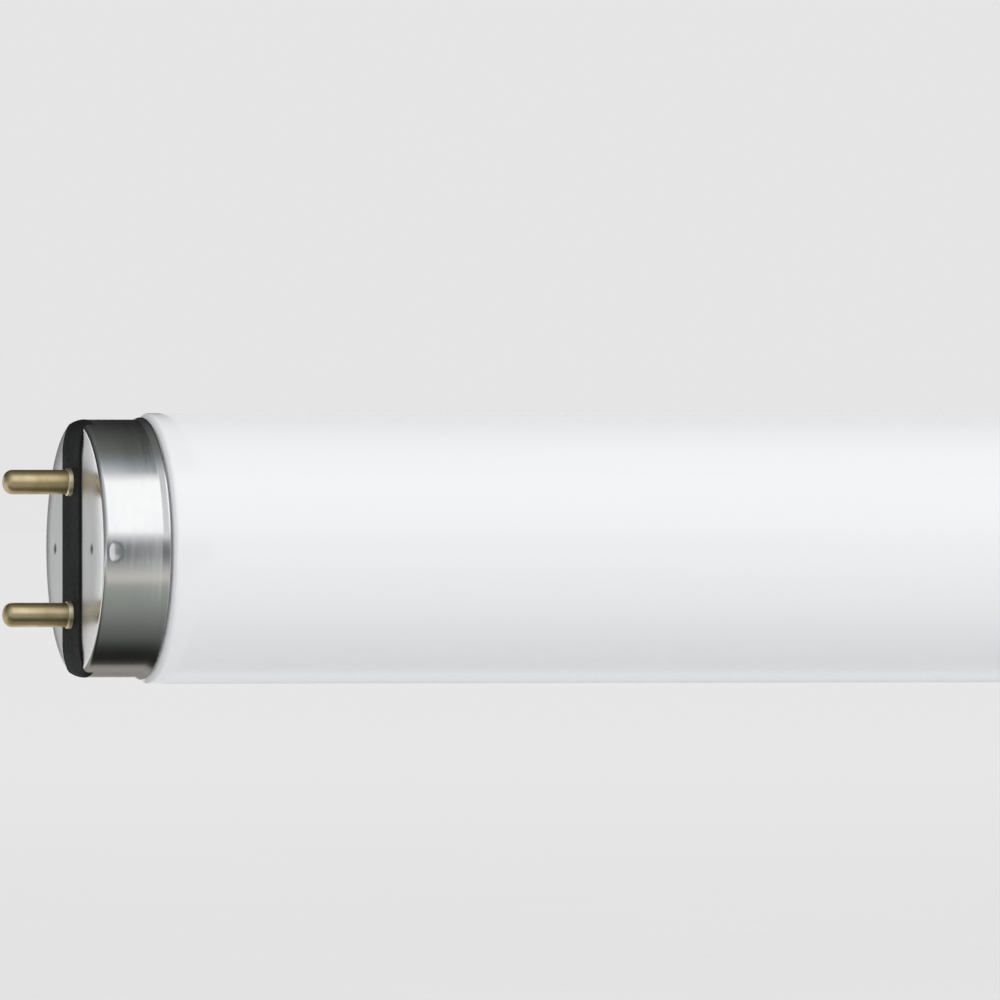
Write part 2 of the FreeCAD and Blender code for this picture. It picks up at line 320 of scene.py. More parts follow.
wire(coated_glass, ranged(coated_glass, grain.outputs["Mask"], *POWDER_ROUGHNESS),
     shader.inputs["Roughness"])
print("coated_glass has", len(coated_glass.node_tree.nodes), "nodes, powder to", round(POWDER_END, 2), "mm")

# %% [markdown]
# The tube is turned from one section. Its ends neck in through a soft shoulder to go inside the caps, and
# close with a stem sunk into each end, with the sealed exhaust tip at its middle. The caps hide all of
# that, but the neck shows from behind the lip, and a whole form costs nothing when it is one section.

# %% The glass
NECK_RADIUS = 11.75
SHOULDER_START, SHOULDER_LENGTH, SHOULDER_ROUND = -0.15, 0.65, 0.4
DISC_BACK, GLASS_END, STEM_FLOOR = 1.55, 2.85, 13.85
STEM_RADIUS, MOUTH_RADIUS, FLARE_DEPTH = 5.2, 9.95, 4.0
EXHAUST_RADIUS, EXHAUST_GAP = 1.6, 0.6
TIP_ROUND, STEM_ROUND, FLARE_ROUND, NECK_ROUND = 1.4, 0.9, 1.0, 0.85
GLASS_COLUMNS = 192


def glass_end(side):
    """Corners of one end, from the axis outwards, as (along, radius, rounding); side is -1 or 1."""
    depths = [
        (DISC_BACK + EXHAUST_GAP, 0, 0),
        (DISC_BACK + EXHAUST_GAP, EXHAUST_RADIUS, TIP_ROUND),
        (STEM_FLOOR, EXHAUST_RADIUS, 0),
        (STEM_FLOOR, STEM_RADIUS, STEM_ROUND),
        (GLASS_END + FLARE_DEPTH, STEM_RADIUS, FLARE_ROUND),
        (GLASS_END, MOUTH_RADIUS, 0),
        (GLASS_END, NECK_RADIUS, NECK_ROUND),
        (SHELL_HEIGHT + SHOULDER_START, NECK_RADIUS, SHOULDER_ROUND),
        (SHELL_HEIGHT + SHOULDER_START + SHOULDER_LENGTH, GLASS_RADIUS, SHOULDER_ROUND),
    ]
    return [(side * (FACE_X - depth), radius, rounding) for depth, radius, rounding in depths]


BODY_STEPS = 24
corners = glass_end(1) + glass_end(-1)[::-1]
steps = [1] * (len(corners) - 1)
steps[len(corners) // 2 - 1] = BODY_STEPS
glass = sewn_mesh("white_glass", *turned(section(corners, steps), (0, AXIS_HEIGHT), GLASS_COLUMNS))
finish_piece(glass, coated_glass, "glass_tube", slot="coated_glass")

# %% [markdown]
# The cap's aluminium is bright but no mirror. Drawing the sheet has left fine lines round the wall, so the
# relief and the roughness change quickly along the axis and slowly round it. The end face was not drawn and
# is more matt. Two numbers that the caps keep on each of their points say which part is end face and where
# shade is painted: a dark tone in the punch marks and a dark line along the lip's cut edge stand in for the
# shade there. They are made with the shapes below, and read here.

# %% Bright aluminium
WALL_ROUGHNESS, FACE_ROUGHNESS = (0.13, 0.2), 0.4
bright_aluminium, shader = start_material("bright_aluminium", {"Metallic": 1.0})
smears = tone(bright_aluminium, scale=220, detail=5)
sheet_tone = mixed_colour(
    bright_aluminium, smears.outputs["Mask"], (0.79, 0.80, 0.81), (0.845, 0.85, 0.85))
painted_shade_share = bright_aluminium.node_tree.nodes.new("ShaderNodeAttribute")
painted_shade_share.attribute_name = "painted_shade"
# Painted shade: the dark colour goes into the punch marks and along the lip's cut edge.
painted_shade_tone = mixed_colour(bright_aluminium, painted_shade_share.outputs["Fac"], sheet_tone, (0.13, 0.13, 0.135))
wire(bright_aluminium, painted_shade_tone, shader.inputs["Base Color"])
drawing_lines = tone(bright_aluminium, scale=160, stretch=(14, 1, 1), detail=3, low=0.3, high=0.7)
wall_roughness = ranged(bright_aluminium, drawing_lines.outputs["Mask"], *WALL_ROUGHNESS)
face_share = bright_aluminium.node_tree.nodes.new("ShaderNodeAttribute")
face_share.attribute_name = "end_face"
roughness = bright_aluminium.node_tree.nodes.new("ShaderNodeMapRange")
roughness.inputs["To Max"].default_value = FACE_ROUGHNESS
wire(bright_aluminium, face_share.outputs["Fac"], roughness.inputs["Value"])
wire(bright_aluminium, wall_roughness, roughness.inputs["To Min"])
wire(bright_aluminium, roughness.outputs["Result"], shader.inputs["Roughness"])
relief(bright_aluminium, shader, drawing_lines.outputs["Height"], 0.05, 0.00004)
print("bright_aluminium has", len(bright_aluminium.node_tree.nodes), "nodes")

# %% [markdown]
# The cap is a cup drawn from thin aluminium sheet. Its end face is slotted right across for the black
# bridge, so the face is two D-shaped halves, while further back the wall is a whole ring. A plain turned
# grid can't have that slot: its columns run straight out from the middle. Here each half of the face gets
# columns of its own, squeezed so that the first and last lie exactly on the edge of the slot. On the ring
# of radius r the half spans the angle whose cosine is half the slot over r, either way from its middle,
# and its columns stand closer together in the middle, where the wall's mark is.
# Below the slot, two more patches of columns join the halves into a ring.

# %% The slotted cup
SHEET = 0.3
SHELL_CORNER, BEVEL_WIDTH, BEVEL_DROP = 0.5, 2.75, 0.22
BEVEL_BEND, INNER_CORNER, FLARE_BEND, LAND_BEND = 16, 0.15, 0.4, 0.3
CUP_STEPS = [44, 8, 5, 34, 3, 3, 1]
LIP_HEIGHT, LIP_FLARE, LIP_LAND, SHEET_EDGE = 0.8, 0.2, 0.25, 0.1
SLOT_HALF, SLOT_DEPTH = 3.55, 1.15
WALL_RADIUS = LIP_RADIUS - LIP_FLARE
HALF_COLUMNS, PATCH_COLUMNS = 112, 20
EVEN_SHARE = 0.4


def cup_sections():
    """The outside and the inside of the sheet, point for point, as (depth, radius), and the slot's row."""
    flare, land = SHELL_HEIGHT - LIP_HEIGHT, SHELL_HEIGHT - LIP_LAND
    bevel = WALL_RADIUS - BEVEL_WIDTH
    outside = [
        (0, SLOT_HALF, 0), (0, bevel, BEVEL_BEND), (BEVEL_DROP, WALL_RADIUS, SHELL_CORNER),
        (SLOT_DEPTH, WALL_RADIUS, 0), (flare, WALL_RADIUS, FLARE_BEND), (land, LIP_RADIUS, LAND_BEND),
        (SHELL_HEIGHT - SHEET_EDGE, LIP_RADIUS, 0), (SHELL_HEIGHT, LIP_RADIUS - SHEET_EDGE, 0),
    ]
    shift = SHEET - 2 * SHEET_EDGE
    inside = [
        (SHEET, SLOT_HALF, 0), (SHEET, bevel, BEVEL_BEND),
        (BEVEL_DROP + SHEET, WALL_RADIUS - SHEET, INNER_CORNER), (SLOT_DEPTH, WALL_RADIUS - SHEET, 0),
        (flare, WALL_RADIUS - SHEET, FLARE_BEND), (land, LIP_RADIUS - SHEET, LAND_BEND),
        (SHELL_HEIGHT - SHEET_EDGE, LIP_RADIUS - SHEET, 0),
        (SHELL_HEIGHT, LIP_RADIUS - SHEET_EDGE - shift, 0),
    ]
    outer, inner = section(outside, CUP_STEPS), section(inside, CUP_STEPS)
    slot_row = sum(CUP_STEPS[:3]) + 2 * ARC_STEPS
    return outer, inner, slot_row


def cup_angles(radius):
    """Angle of every column on rings of these radii, from the middle of the near half: one row a ring."""
    reach = np.arccos(np.clip(SLOT_HALF / radius, -1, 1))[:, None]
    wall_reach = math.acos(SLOT_HALF / WALL_RADIUS)
    even = np.linspace(-1, 1, HALF_COLUMNS)
    crowded = even * (EVEN_SHARE + (1 - EVEN_SHARE) * even ** 2)
    gap = np.linspace(wall_reach, math.pi - wall_reach, PATCH_COLUMNS + 2)[1:-1]
    patch = np.repeat(gap[None], len(radius), axis=0)
    return np.concatenate([crowded * reach, patch, math.pi + crowded * reach, math.pi + patch], axis=1)


def cup_cells(rows, slot_row, columns):
    """Cells of the outside, the inside, the slot's walls and foot, and the lip, from two stacked grids."""
    cells = grid_cells(rows, columns).reshape(rows - 1, columns, 4)
    in_half = np.zeros(columns, bool)
    in_half[:HALF_COLUMNS - 1] = True
    far = HALF_COLUMNS + PATCH_COLUMNS
    in_half[far:far + HALF_COLUMNS - 1] = True
    inner = rows * columns
    halves = cells[:slot_row][:, in_half].reshape(-1, 4)
    ring = cells[slot_row:].reshape(-1, 4)
    outside = np.concatenate([halves, ring])
    parts = [outside, outside[:, ::-1] + inner]
    row = np.arange(slot_row)
    for edge, turn in ((0, 1), (HALF_COLUMNS - 1, -1), (far, 1), (far + HALF_COLUMNS - 1, -1)):
        near = row * columns + edge
        wall = np.stack([near, near + columns, near + columns + inner, near + inner], axis=-1)
        parts.append(wall[:, ::turn])
    ring_start = np.arange(columns)
    ring_after = (ring_start + 1) % columns
    for place, used, turn in ((slot_row, ~in_half, -1), (rows - 1, np.ones(columns, bool), 1)):
        a = place * columns + ring_start[used]
        b = place * columns + ring_after[used]
        rim = np.stack([a, b, b + inner, a + inner], axis=-1)
        parts.append(rim[:, ::turn])
    return np.concatenate(parts)


outer, inner, slot_row = cup_sections()
print("cup section", len(outer), "points, slot down to depth", round(outer[slot_row, 0], 3))

# %% [markdown]
# Four small punch marks stake the sheet on to the moulding behind it: two on the end face, on the line
# square to the pins, and two on the wall, which are taller than wide. Each is the same soft hollow. With
# the distance from the mark's centre counted in mark radii, its depth falls as one minus the distance
# squared, all squared, to nothing at the rim. The same share is kept on each point, as numbers that the
# material reads: a mark is duller than its rim, and shade is painted into it as a darker tone. Shade is
# painted along the cut edge of the lip too, as a thin dark line between the metal and the glass.

# %% Punch marks and the two caps
PUNCH_RADIUS, PUNCH_DEPTH = 0.75, 0.12
WALL_PUNCH_TALLER = 1.4
MARK_ROUGHER = 2.0
FACE_PUNCH, WALL_PUNCH_DEPTH, WALL_PUNCH_TURN = 7.6, 1.3, math.radians(-1.5)
# Painted shade: how dark the face marks, the wall marks and the lip's cut edge are painted.
FACE_MARK_SHADE, WALL_MARK_SHADE, LIP_EDGE_SHADE = 1.6, 0.25, 0.7
LIP_EDGE_SHADE_WIDTH = 0.16
LIP_EDGE_SHADE_FROM = SHELL_HEIGHT - LIP_EDGE_SHADE_WIDTH
CUP_SHARP_DEGREES = 28


def punched(depth, across, up):
    """Moves the outside of the sheet inwards at the marks: along the axis on the face, else to the axis.

    Returns the moved depth, across and up, and the shade painted at each point, which grows with its depth
    in a mark.
    """
    on_face = depth < BEVEL_DROP
    shares = np.zeros_like(depth)
    for side in (-1, 1):
        gap = np.hypot(across - side * FACE_PUNCH, up)
        face_share = np.where(on_face, np.clip(1 - (gap / PUNCH_RADIUS) ** 2, 0, 1) ** 2, 0)
        depth = depth + PUNCH_DEPTH * face_share
        mark_across = side * WALL_RADIUS * math.cos(WALL_PUNCH_TURN)
        mark_up = side * WALL_RADIUS * math.sin(WALL_PUNCH_TURN)
        rise = (up - mark_up) / WALL_PUNCH_TALLER
        gap = np.sqrt((across - mark_across) ** 2 + rise ** 2 + (depth - WALL_PUNCH_DEPTH) ** 2)
        wall_share = np.where(on_face, 0, np.clip(1 - (gap / PUNCH_RADIUS) ** 2, 0, 1) ** 2)
        pull = 1 - PUNCH_DEPTH * wall_share / WALL_RADIUS
        across, up = across * pull, up * pull
        # Painted shade in the marks, darker towards their middle.
        shares = shares + FACE_MARK_SHADE * face_share + WALL_MARK_SHADE * wall_share
    return depth, across, up, shares


def cap_shell(name, side):
    """One slotted cup; side is -1 for the left end and 1 for the right, turned half round the upright."""
    sheets, shares, faces = [], [], []
    for line, is_outside in ((outer, True), (inner, False)):
        angles = cup_angles(line[:, 1])
        depth = np.repeat(line[:, :1], angles.shape[1], axis=1)
        across, up = line[:, 1:] * np.cos(angles), line[:, 1:] * np.sin(angles)
        share = np.zeros_like(depth)
        if is_outside:
            depth, across, up, share = punched(depth, across, up)
        inside_edge = (WALL_RADIUS - np.hypot(across, up)) / BEVEL_WIDTH
        faces.append(np.clip(inside_edge + MARK_ROUGHER * share, 0, 1).ravel())
        # Painted shade: a thin dark line along the lip's cut edge, in place of the shade in the gap by the
        # glass.
        share = share + LIP_EDGE_SHADE * (depth > LIP_EDGE_SHADE_FROM)
        shares.append(np.clip(share, 0, 1).ravel())
        sheets.append(np.stack([side * (FACE_X - depth), side * across, AXIS_HEIGHT + up], axis=-1))
    points = np.concatenate([sheet.reshape(-1, 3) for sheet in sheets]) * MM
    cells = cup_cells(len(outer), slot_row, sheets[0].shape[1])
    values = {"painted_shade": np.concatenate(shares), "end_face": np.concatenate(faces)}
    return sewn_mesh(name, points, cells, CUP_SHARP_DEGREES, values)


for end, side in ENDS:
    cup = cap_shell(end + "_cup", side)
    finish_piece(cup, bright_aluminium, end + "_cap_shell", slot="cap_aluminium")

# %% [markdown]
# Brass that has been handled goes dull and brown in patches. One mask drives both: where the colour is
# browner, the surface is rougher too. The relief is a faint grain along the pin. A highlight is painted on
# the rim of the collar as a pale brass colour, which a number kept on each of the pins' points says.

# %% Dull brass
BRASS_ROUGHNESS = (0.44, 0.34)
dull_brass, shader = start_material("dull_brass", {"Metallic": 1.0})
tarnish = tone(dull_brass, scale=420, detail=5)
brass_tone = mixed_colour(dull_brass, tarnish.outputs["Mask"], (0.56, 0.445, 0.235), (0.75, 0.635, 0.39))
painted_highlight = dull_brass.node_tree.nodes.new("ShaderNodeAttribute")
painted_highlight.attribute_name = "painted_highlight"
# Painted highlight: the collar's rim gets a pale brass colour.
pin_tone = mixed_colour(dull_brass, painted_highlight.outputs["Fac"], brass_tone, (0.89, 0.8, 0.55))
wire(dull_brass, pin_tone, shader.inputs["Base Color"])
wire(dull_brass, ranged(dull_brass, tarnish.outputs["Mask"], *BRASS_ROUGHNESS),
     shader.inputs["Roughness"])
drawn = tone(dull_brass, scale=500, stretch=(0.1, 1, 1), detail=3)
relief(dull_brass, shader, drawn.outputs["Height"], 0.04, 0.00003)
print("dull_brass has", len(dull_brass.node_tree.nodes), "nodes")

# %% [markdown]
# Each pin is a small brass tube, closed at the tip, with a collar that seats on the black bridge and a
# rivet that holds it behind the disc. One section, turned about the pin's own axis, gives all of it, with
# the bore. Its place and its length come from the box of its CAD node.

# %% The four pins
PIN_RADIUS, PIN_TIP_ROUND, PIN_BORE, PIN_TIP_WALL = 1.175, 0.9, 0.7, 0.6
COLLAR_RADIUS, COLLAR_THICKNESS, COLLAR_TAPER, SHANK_RADIUS = 1.35, 0.45, 0.05, 1.0
RIVET_RADIUS, RIVET_THICKNESS, BRIDGE_PROUD = 1.7, 0.25, 0.25
PIN_FOOT_ROUND, COLLAR_ROUND, RIVET_ROUND = 0.05, 0.12, 0.1
COLLAR_HIGHLIGHT_FROM = 1.2
PIN_COLUMNS = 72


def pin_section(tip):
    """The pin's section as (height over the end face, radius), from its tip back round into its bore."""
    collar = BRIDGE_PROUD + COLLAR_THICKNESS
    rivet = -DISC_BACK - RIVET_THICKNESS
    return section([
        (tip, 0, 0), (tip, PIN_RADIUS, PIN_TIP_ROUND), (collar, PIN_RADIUS, PIN_FOOT_ROUND),
        (collar, COLLAR_RADIUS - COLLAR_TAPER, COLLAR_ROUND), (BRIDGE_PROUD, COLLAR_RADIUS, 0),
        (BRIDGE_PROUD, SHANK_RADIUS, 0), (-DISC_BACK, SHANK_RADIUS, 0),
        (-DISC_BACK, RIVET_RADIUS, 0), (rivet, RIVET_RADIUS, RIVET_ROUND), (rivet, PIN_BORE, 0),
        (tip - PIN_TIP_WALL, PIN_BORE, 0), (tip - PIN_TIP_WALL, 0, 0),
    ])


def on_end(outline, side):
    """Moves an outline of heights over the face to the left (-1) or right (1) end, outside kept left."""
    placed = np.stack([side * (FACE_X + outline[:, 0]), outline[:, 1]], axis=-1)
    return placed if side > 0 else placed[::-1]


for end, side in ENDS:
    for level in ("upper", "lower"):
        node = f"{end}_{level}_pin"
        low, high = (np.array(corner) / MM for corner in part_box(node))
        tip = max(abs(low[0]), abs(high[0])) - FACE_X
        outline = on_end(pin_section(tip), side)
        points, cells = turned(outline, (0, (low[2] + high[2]) / 2), PIN_COLUMNS)
        # The collar's rim, where the highlight is painted.
        on_rim = (outline[:, 1] > COLLAR_HIGHLIGHT_FROM) & (np.abs(outline[:, 0]) > FACE_X)
        painted_highlight_share = np.repeat(on_rim.astype(float), PIN_COLUMNS)
        pin = sewn_mesh(f"{end}_{level}_contact", points, cells, values={"painted_highlight": painted_highlight_share})
        finish_piece(pin, dull_brass, node, slot="pin_brass")

# %% [markdown]
# The black bridge insulates the pins from the metal. It is moulded in one with the disc behind the cap's
# face, and its ends roll down over the cap's edge. Black plastic with a fine matt grain reflects little,
# even seen at a flat angle, so its shader has a low specular level.

# %% Black moulding
MOULD_ROUGHNESS = (0.5, 0.62)
black_moulding, shader = start_material("black_moulding", {"Specular IOR Level": 0.04})
mould_tone = tone(black_moulding, scale=300, detail=5)
plastic_tone = mixed_colour(
    black_moulding, mould_tone.outputs["Mask"], (0.011, 0.0135, 0.013), (0.018, 0.0205, 0.0195))
wire(black_moulding, plastic_tone, shader.inputs["Base Color"])
mould_grain = tone(black_moulding, scale=2600, detail=3)
wire(black_moulding, ranged(black_moulding, mould_grain.outputs["Mask"], *MOULD_ROUGHNESS),
     shader.inputs["Roughness"])
relief(black_moulding, shader, mould_grain.outputs["Height"], 0.12, 0.00004)
print("black_moulding has", len(black_moulding.node_tree.nodes), "nodes")

# %% [markdown]
# The bar of the bridge is one sheet of points over its plan, and a second sheet under it. Across the bar
# the points are evenly spaced, closer at the two softened edges. Along it they reach as far as the circle
# of the cap, so the ends follow the cap's wall. The height is level in the middle and falls along a quarter
# of an ellipse at each end: the drop is the ellipse's depth times one minus the root of one minus the share
# of the way, squared. The disc behind it is a turned section, like the glass and the pins, and joins the
# bar inside the cap.

# %% The two bridges
BAR_HALF, BAR_LEVEL_TO, BAR_EDGE = 3.5, 8.7, 0.15
BAR_DOWN_THE_WALL = 1.1
BAR_FALL = BRIDGE_PROUD + BAR_DOWN_THE_WALL
DISC_RADIUS, DISC_FRONT, DISC_EDGE = 12.0, 0.35, 0.3
BAR_ROWS, BAR_COLUMNS, EDGE_ROWS = 24, 160, 6
BRIDGE_SHARP_DEGREES = 40


def bar_points():
    """The bar's two sheets as (height, across, up), shape (2, rows, columns, 3)."""
    turn = np.linspace(0, math.pi / 2, EDGE_ROWS)
    edge = BAR_HALF - BAR_EDGE * (1 - np.sin(turn))
    across = np.concatenate([-edge[::-1], np.linspace(-edge[0], edge[0], BAR_ROWS)[1:-1], edge])
    inset = np.clip(np.abs(across) - (BAR_HALF - BAR_EDGE), 0, BAR_EDGE)
    edge_drop = BAR_EDGE - np.sqrt(BAR_EDGE ** 2 - inset ** 2)
    share = np.sin(np.linspace(-math.pi / 2, math.pi / 2, BAR_COLUMNS))
    up = np.sqrt(WALL_RADIUS ** 2 - across ** 2)[:, None] * share
    past = np.clip((np.abs(up) - BAR_LEVEL_TO) / (WALL_RADIUS - BAR_LEVEL_TO), 0, 1)
    fall = BAR_FALL * (1 - np.sqrt(1 - past ** 2))
    front = BRIDGE_PROUD - np.maximum(fall, edge_drop[:, None])
    foot = np.full_like(front, BRIDGE_PROUD - BAR_FALL)
    across = np.repeat(across[:, None], BAR_COLUMNS, axis=1)
    return np.stack([np.stack([level, across, up], axis=-1) for level in (front, foot)])


def two_sheet_cells(rows, columns):
    """Cells of two sheets of the same plan, back to back, with a wall round their shared edge."""
    sheet = grid_cells(rows, columns, wrap_columns=False)
    count = rows * columns
    number = np.arange(count).reshape(rows, columns)
    rim = np.concatenate([number[0], number[1:, -1], number[-1, -2::-1], number[-2:0:-1, 0]])
    after = np.roll(rim, -1)
    wall = np.stack([rim, rim + count, after + count, after], axis=-1)
    return np.concatenate([sheet, sheet[:, ::-1] + count, wall])


disc_outline = section([
    (-DISC_FRONT, 0, 0), (-DISC_FRONT, DISC_RADIUS, DISC_EDGE), (-DISC_BACK, DISC_RADIUS, DISC_EDGE),
    (-DISC_BACK, 0, 0)])
for end, side in ENDS:
    bar = bar_points()
    height, across, up = np.moveaxis(bar, -1, 0)
    placed = np.stack([side * (FACE_X + height), side * across, AXIS_HEIGHT + up], axis=-1)
    bar_cells = two_sheet_cells(*bar.shape[1:3])
    disc_points, disc_cells = turned(on_end(disc_outline, side), (0, AXIS_HEIGHT), BAR_COLUMNS)
    points = np.concatenate([placed.reshape(-1, 3) * MM, disc_points])
    cells = np.concatenate([bar_cells, disc_cells + bar[..., 0].size])
    bridge = sewn_mesh(end + "_bridge", points, cells, BRIDGE_SHARP_DEGREES)
    finish_piece(bridge, black_moulding, end + "_insulating_bridge", slot="bridge_plastic")

# %% [markdown]
# The cement and the lead wires keep their CAD forms and get their own finishes. The cement is a rough,
# sandy ring between the glass and the cap, and the wires are hidden in the cap.

# %% Cement and wire
WIRE_ROUGHNESS = (0.3, 0.45)
basing_cement, shader = start_material("basing_cement", {"Roughness": 0.9})
sand = tone(basing_cement, scale=1800, detail=6)
cement_tone = mixed_colour(basing_cement, sand.outputs["Mask"], (0.38, 0.33, 0.26), (0.6, 0.55, 0.46))
wire(basing_cement, cement_tone, shader.inputs["Base Color"])
relief(basing_cement, shader, sand.outputs["Height"], 0.5, 0.0001)

plated_wire, shader = start_material("plated_wire", {"Metallic": 1.0})
wire_tone = tone(plated_wire, scale=600, stretch=(0.2, 1, 1))
wire_colour = mixed_colour(plated_wire, wire_tone.outputs["Mask"], (0.45, 0.42, 0.38), (0.62, 0.58, 0.52))
wire(plated_wire, wire_colour, shader.inputs["Base Color"])
wire(plated_wire, ranged(plated_wire, wire_tone.outputs["Mask"], *WIRE_ROUGHNESS),
     shader.inputs["Roughness"])

FINISH_OF = {"cement_ring": basing_cement, "lead_wire": plated_wire}
for node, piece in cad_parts.items():
    for ending, material in FINISH_OF.items():
        if node.endswith(ending):
            piece.data.materials.clear()
            piece.data.materials.append(material)
            print(node, "is", material.name)

# %% [markdown]
# The photograph looks at the end of the tube almost from the side, level with it, from far away: the
# tube's edges stay parallel and the end face shows as a narrow ellipse, 0.23 as wide as it is high. That
# ratio is the sine of the angle off the broadside view. The camera stands level, with a long lens, and the
# frame is as wide as the photograph's at the cap. The cap stands a little further from the left edge than
# in the photograph, because the pins have their full length here.

# %% Camera
PIXELS_PER_MM = 10.46
FACE_CENTRE_PIXEL = (73.0, 548.5)
FRAME_PIXELS = 1000
ELLIPSE_RATIO = 0.23
CAMERA_DISTANCE = 2.6
SENSOR_WIDTH = 36


def aim(place, target):
    """The matrix of something at place that looks at target along its own -Z."""
    turn = (Vector(target) - Vector(place)).to_track_quat("-Z", "Y")
    return Matrix.Translation(place) @ turn.to_matrix().to_4x4()


cap_centre = Vector((-FACE_X * MM, 0, AXIS_HEIGHT * MM))
aside = (FRAME_PIXELS / 2 - FACE_CENTRE_PIXEL[0]) / PIXELS_PER_MM * MM
above = (FACE_CENTRE_PIXEL[1] - FRAME_PIXELS / 2) / PIXELS_PER_MM * MM
view_turn = math.asin(ELLIPSE_RATIO) + math.atan(aside / CAMERA_DISTANCE)
forward = Vector((math.sin(view_turn), math.cos(view_turn), 0))
right = Vector((math.cos(view_turn), -math.sin(view_turn), 0))
target = cap_centre + right * aside + Vector((0, 0, above))
camera_data = bpy.data.cameras.new("camera")
camera_data.sensor_width = SENSOR_WIDTH
camera_data.lens = SENSOR_WIDTH * CAMERA_DISTANCE / (FRAME_PIXELS / PIXELS_PER_MM * MM)
camera_data.clip_start, camera_data.clip_end = 0.05, 100
camera = bpy.data.objects.new("camera", camera_data)
bpy.context.collection.objects.link(camera)
camera.matrix_world = aim(target - forward * CAMERA_DISTANCE, target)
bpy.context.scene.camera = camera
bpy.context.scene.view_settings.view_transform = "Standard"
print("lens", round(camera_data.lens, 1), "mm,", round(math.degrees(view_turn), 2), "degrees off broadside")

# %% [markdown]
# The stage is a large pale floor and an even pale surround. The floor's own colour makes it pale, and it is
# a little deeper near the tube, where the studio lamp adds to the light on it. The surround gives a plain
# soft light from everywhere, and shows itself to the camera and in reflections at the same pale tone as
# the floor, so that there is no line where the floor ends. The tube is shown a little above the floor, as a
# photographer holds it on thin wires, so that light off the floor reaches its underside and the shadow it
# throws falls below the picture.

# %% Floor and surround
FLOOR_HALF = 40.0
FLOOR_LEVEL = -0.035
PAPER_ROUGHNESS = 0.95
PALE = (0.783, 0.783, 0.783)
FILL_STRENGTH = 0.885
NEAR_PAPER, FAR_PAPER = (0.835, 0.835, 0.835), (0.898, 0.898, 0.898)
FIBRE_SHARE = 0.99
NEAR_TO, FAR_FROM = 0.4, 2.6

floor_points = np.array([[-1, -1, 0], [1, -1, 0], [1, 1, 0], [-1, 1, 0]], float) * FLOOR_HALF
floor_points[:, 2] = FLOOR_LEVEL
floor_mesh = bpy.data.meshes.new("floor")
floor_mesh.from_pydata(floor_points.tolist(), [], [(0, 1, 2, 3)])
floor = bpy.data.objects.new("floor", floor_mesh)
bpy.context.collection.objects.link(floor)
floor_paper, shader = start_material("floor_paper", {
    "Roughness": PAPER_ROUGHNESS, "Specular IOR Level": 0.0})
paper = tone(floor_paper, scale=30)
where = floor_paper.node_tree.nodes.new("ShaderNodeTexCoord")
how_far = floor_paper.node_tree.nodes.new("ShaderNodeVectorMath")
how_far.operation = "LENGTH"
away = floor_paper.node_tree.nodes.new("ShaderNodeMapRange")
away.inputs["From Min"].default_value = NEAR_TO
away.inputs["From Max"].default_value = FAR_FROM
wire(floor_paper, where.outputs["Object"], how_far.inputs[0])
wire(floor_paper, how_far.outputs["Value"], away.inputs["Value"])
plain_tone = mixed_colour(floor_paper, away.outputs["Result"], NEAR_PAPER, FAR_PAPER)
near_fibre = tuple(FIBRE_SHARE * part for part in NEAR_PAPER)
fibre_tone = mixed_colour(floor_paper, away.outputs["Result"], near_fibre, FAR_PAPER)
paper_tone = mixed_colour(floor_paper, paper.outputs["Mask"], plain_tone, fibre_tone)
wire(floor_paper, paper_tone, shader.inputs["Base Color"])
floor.data.materials.append(floor_paper)

world = bpy.data.worlds.new("surround")
bpy.context.scene.world = world
world.use_nodes = True
nodes, links = world.node_tree.nodes, world.node_tree.links
nodes.clear()
path = nodes.new("ShaderNodeLightPath")
seen = nodes.new("ShaderNodeBackground")
seen.inputs["Color"].default_value = (*PALE, 1)
fill = nodes.new("ShaderNodeBackground")
fill.inputs["Color"].default_value = (1, 1, 1, 1)
fill.inputs["Strength"].default_value = FILL_STRENGTH
either = nodes.new("ShaderNodeMath")
either.operation = "MAXIMUM"
any_seen = nodes.new("ShaderNodeMath")
any_seen.operation = "MAXIMUM"
choice = nodes.new("ShaderNodeMixShader")
out = nodes.new("ShaderNodeOutputWorld")
links.new(path.outputs["Is Camera Ray"], either.inputs[0])
links.new(path.outputs["Is Glossy Ray"], either.inputs[1])
links.new(either.outputs[0], any_seen.inputs[0])
links.new(path.outputs["Is Transmission Ray"], any_seen.inputs[1])
links.new(any_seen.outputs[0], choice.inputs["Fac"])
links.new(fill.outputs[0], choice.inputs[1])
links.new(seen.outputs[0], choice.inputs[2])
links.new(choice.outputs[0], out.inputs["Surface"])
print("floor at", FLOOR_LEVEL, "m, surround shown at", PALE[0], "and lighting at", FILL_STRENGTH)

# %% [markdown]
# Bright metal shows whatever stands round it, so a photographer shapes its look with one big soft lamp and
# with dark cards. The lamp is in front and above, and reaches far to the right but hardly past the cap on
# the left. So a surface that turns even a little to the left loses it, which draws a dark line along the
# edge of the end face and another at the flare of the lip.

# %% Soft lamp
LAMP_HEIGHT_DEG, LAMP_DISTANCE, LAMP_WIDTH, LAMP_DEPTH = 39.0, 1.5, 3.0, 1.45
LAMP_LEFT = -0.13
LAMP_WATTS_PER_AREA = 1.1

